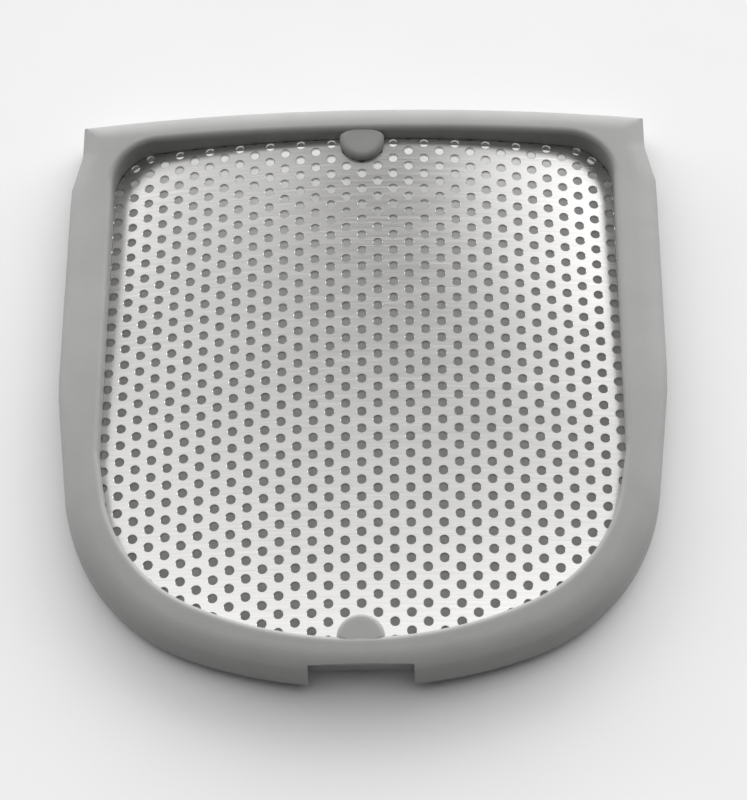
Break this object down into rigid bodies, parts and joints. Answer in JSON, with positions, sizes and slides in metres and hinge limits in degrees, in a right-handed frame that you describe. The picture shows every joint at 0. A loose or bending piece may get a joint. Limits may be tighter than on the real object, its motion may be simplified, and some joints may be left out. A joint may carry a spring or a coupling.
{
  "type": "kettle limescale filter",
  "caption": "Arched U-shaped kettle spout filter: a perforated steel sheet seated in the groove of a soft grey frame with a straight top bar, small tabs and a lower notch.",
  "frame": {"origin": "on the table under the middle of the frame, which lies on its rear side", "axes": "+X to the right seen from the front, +Y towards the straight top bar, +Z out of the front face"},
  "size_m": [0.0658, 0.0684, 0.0078],
  "materials": {
    "frame": "matt moulded",
    "filter_sheet": "satin, brushed across"
  },
  "bodies": {
    "root": {"frame": "frame", "filter_sheet": "filter_sheet"}
  },
  "joints": []
}
